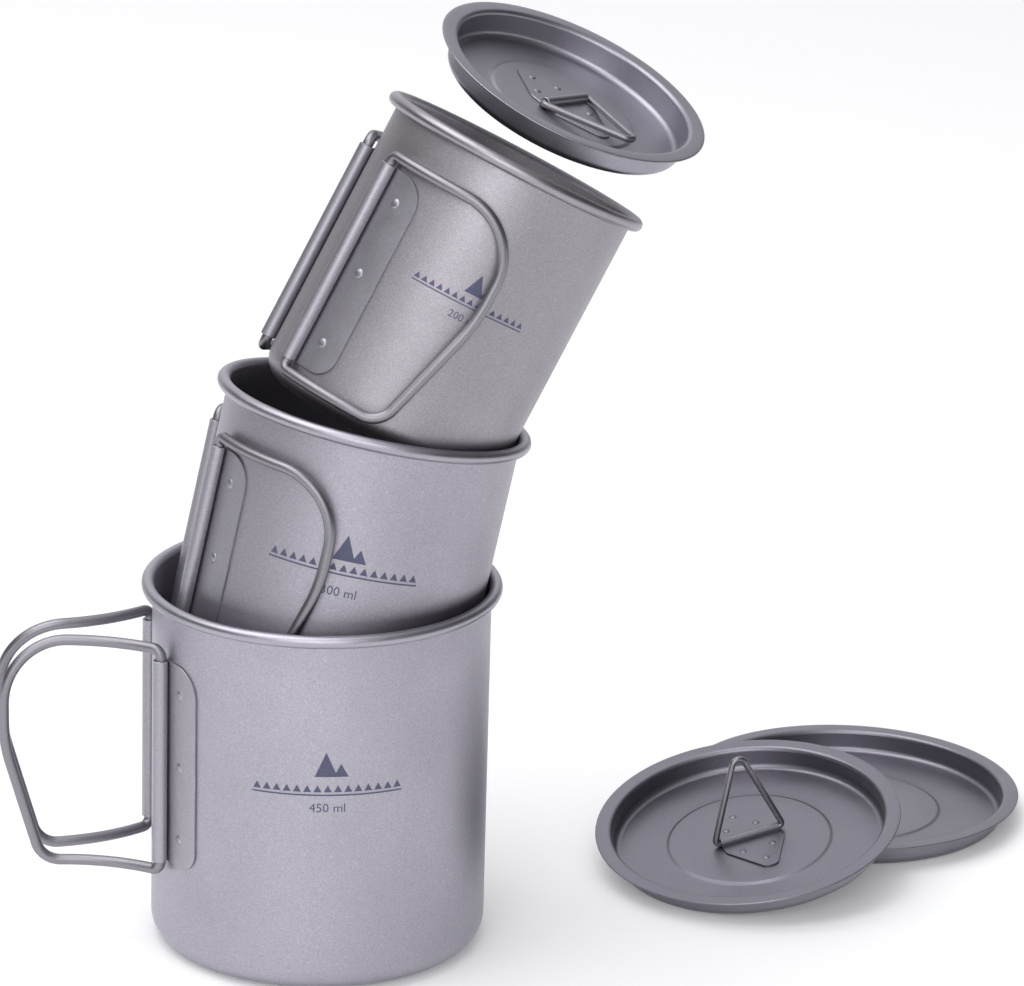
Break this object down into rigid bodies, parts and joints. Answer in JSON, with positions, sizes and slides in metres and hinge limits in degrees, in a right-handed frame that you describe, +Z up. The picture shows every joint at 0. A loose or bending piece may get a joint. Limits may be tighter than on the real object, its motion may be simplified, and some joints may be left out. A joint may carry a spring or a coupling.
{
  "type": "nesting camping cup set",
  "caption": "Nesting titanium camping cups with folding wire handles and drop-in lids with folding rings, stacked at a lean with the lids beside and above.",
  "frame": {"origin": "middle of the big cup's base, on the surface that it stands on", "axes": "+Z up along the big cup's axis; the leaning cups and the lids are towards +X, the big cup's handles towards -X"},
  "size_m": [0.2528, 0.1726, 0.2184],
  "materials": {
    "blasted_titanium": "bead-blasted, fine grain",
    "satin_titanium": "satin wire and sheet",
    "lid_titanium": "satin, darker"
  },
  "bodies": {
    "big_cup_body": {"big_cup": "blasted_titanium", "big_front_bracket": "satin_titanium", "big_front_bracket_welds": "satin_titanium", "big_back_bracket": "satin_titanium", "big_back_bracket_welds": "satin_titanium"},
    "big_front_handle_body": {"big_front_handle": "satin_titanium"},
    "big_back_handle_body": {"big_back_handle": "satin_titanium"},
    "big_lid_body": {"big_lid": "lid_titanium", "big_lid_clip": "lid_titanium", "big_lid_clip_welds": "lid_titanium"},
    "big_ring_body": {"big_lid_ring": "satin_titanium"},
    "medium_cup_body": {"medium_cup": "blasted_titanium", "medium_front_bracket": "satin_titanium", "medium_front_bracket_welds": "satin_titanium", "medium_back_bracket": "satin_titanium", "medium_back_bracket_welds": "satin_titanium", "medium_front_handle": "satin_titanium", "medium_back_handle": "satin_titanium"},
    "medium_lid_body": {"medium_lid": "lid_titanium", "medium_lid_clip": "lid_titanium", "medium_lid_clip_welds": "lid_titanium"},
    "medium_ring_body": {"medium_lid_ring": "satin_titanium"},
    "small_cup_body": {"small_cup": "blasted_titanium", "small_front_bracket": "satin_titanium", "small_front_bracket_welds": "satin_titanium", "small_back_bracket": "satin_titanium", "small_back_bracket_welds": "satin_titanium"},
    "small_front_handle_body": {"small_front_handle": "satin_titanium"},
    "small_back_handle_body": {"small_back_handle": "satin_titanium"},
    "small_lid_body": {"small_lid": "lid_titanium", "small_lid_clip": "lid_titanium", "small_lid_clip_welds": "lid_titanium"},
    "small_ring_body": {"small_lid_ring": "satin_titanium"}
  },
  "joints": [
    {"name": "big_front_handle_hinge", "type": "hinge", "parent": "big_cup_body", "child": "big_front_handle_body", "pos_m": [-0.03636, -0.02057, 0.05], "axis": [0, 0, 1], "range_deg": [0, 148]},
    {"name": "big_back_handle_hinge", "type": "hinge", "parent": "big_cup_body", "child": "big_back_handle_body", "pos_m": [-0.04108, 0.00761, 0.05], "axis": [0, 0, -1], "range_deg": [0, 148]},
    {"name": "small_front_handle_hinge", "type": "hinge", "parent": "small_cup_body", "child": "small_front_handle_body", "pos_m": [0.00286, -0.00839, 0.16898], "axis": [-0.4414, -0.1685, -0.8814], "range_deg": [0, 148]},
    {"name": "small_back_handle_hinge", "type": "hinge", "parent": "small_cup_body", "child": "small_back_handle_body", "pos_m": [-0.00287, 0.0129, 0.16778], "axis": [0.4414, 0.1685, 0.8814], "range_deg": [0, 148]},
    {"name": "medium_cup_lift", "type": "slide", "parent": "big_cup_body", "child": "medium_cup_body", "axis": [0.1953, 0.0819, 0.9773], "range_m": [0, 0.07]},
    {"name": "small_cup_lift", "type": "slide", "parent": "medium_cup_body", "child": "small_cup_body", "axis": [0.4414, 0.1685, 0.8814], "range_m": [0, 0.06]},
    {"name": "small_lid_lift", "type": "slide", "parent": "small_cup_body", "child": "small_lid_body", "axis": [0.3887, -0.1633, 0.9068], "range_m": [-0.01, 0.04]},
    {"name": "big_lid_lift", "type": "slide", "parent": "big_cup_body", "child": "big_lid_body", "axis": [0, 0, 1], "range_m": [0, 0.05]},
    {"name": "medium_lid_lift", "type": "slide", "parent": "big_lid_body", "child": "medium_lid_body", "axis": [0, 0, 1], "range_m": [0, 0.05]},
    {"name": "big_ring_hinge", "type": "hinge", "parent": "big_lid_body", "child": "big_ring_body", "pos_m": [0.133, 0.087, 0.00168], "axis": [-0.8387, 0.5446, 0], "range_deg": [-28, 136]},
    {"name": "medium_ring_hinge", "type": "hinge", "parent": "medium_lid_body", "child": "medium_ring_body", "pos_m": [0.10537, 0.04503, 0.00862], "axis": [0.9237, 0.337, 0.182], "range_deg": [-74, 90]},
    {"name": "small_ring_hinge", "type": "hinge", "parent": "small_lid_body", "child": "small_ring_body", "pos_m": [0.05377, 0.02788, 0.19921], "axis": [-0.5923, -0.7982, 0.1101], "range_deg": [0, 164]}
  ]
}
